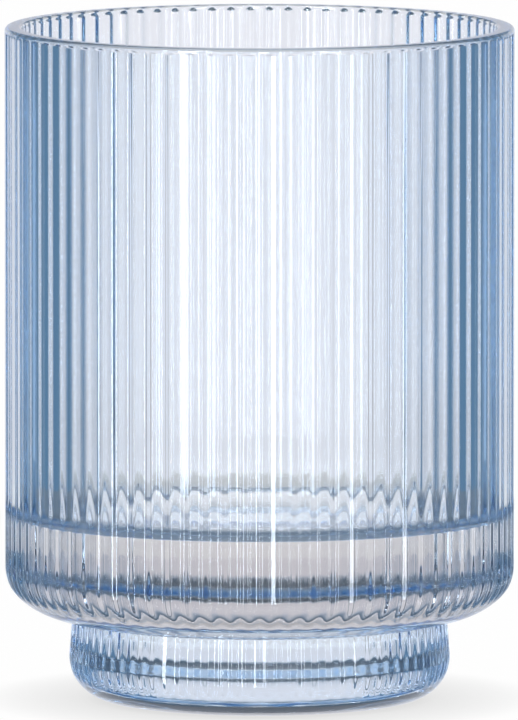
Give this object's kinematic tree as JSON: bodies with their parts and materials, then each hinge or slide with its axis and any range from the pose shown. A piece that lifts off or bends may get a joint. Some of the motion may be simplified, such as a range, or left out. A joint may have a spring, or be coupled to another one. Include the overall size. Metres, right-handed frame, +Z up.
{
  "type": "ribbed glass vase",
  "caption": "Straight-sided clear blue glass vase with vertical ribs, a plain rim and a heavy solid base, bonded onto a narrower ribbed glass foot; holds cut stems in water.",
  "frame": {"origin": "centre of the circle the foot rests on, on the resting plane", "axes": "+Z up along the axis of the vase, from foot to rim; X and Y are free, as the vase is round"},
  "size_m": [0.14, 0.14, 0.1855],
  "materials": {
    "body_glass": "clear pale blue, polished",
    "bond_resin": "clear and colourless",
    "foot_glass": "clear pale blue, polished"
  },
  "bodies": {
    "root": {"vase_body": "body_glass", "bond_disc": "bond_resin", "foot": "foot_glass"}
  },
  "joints": []
}
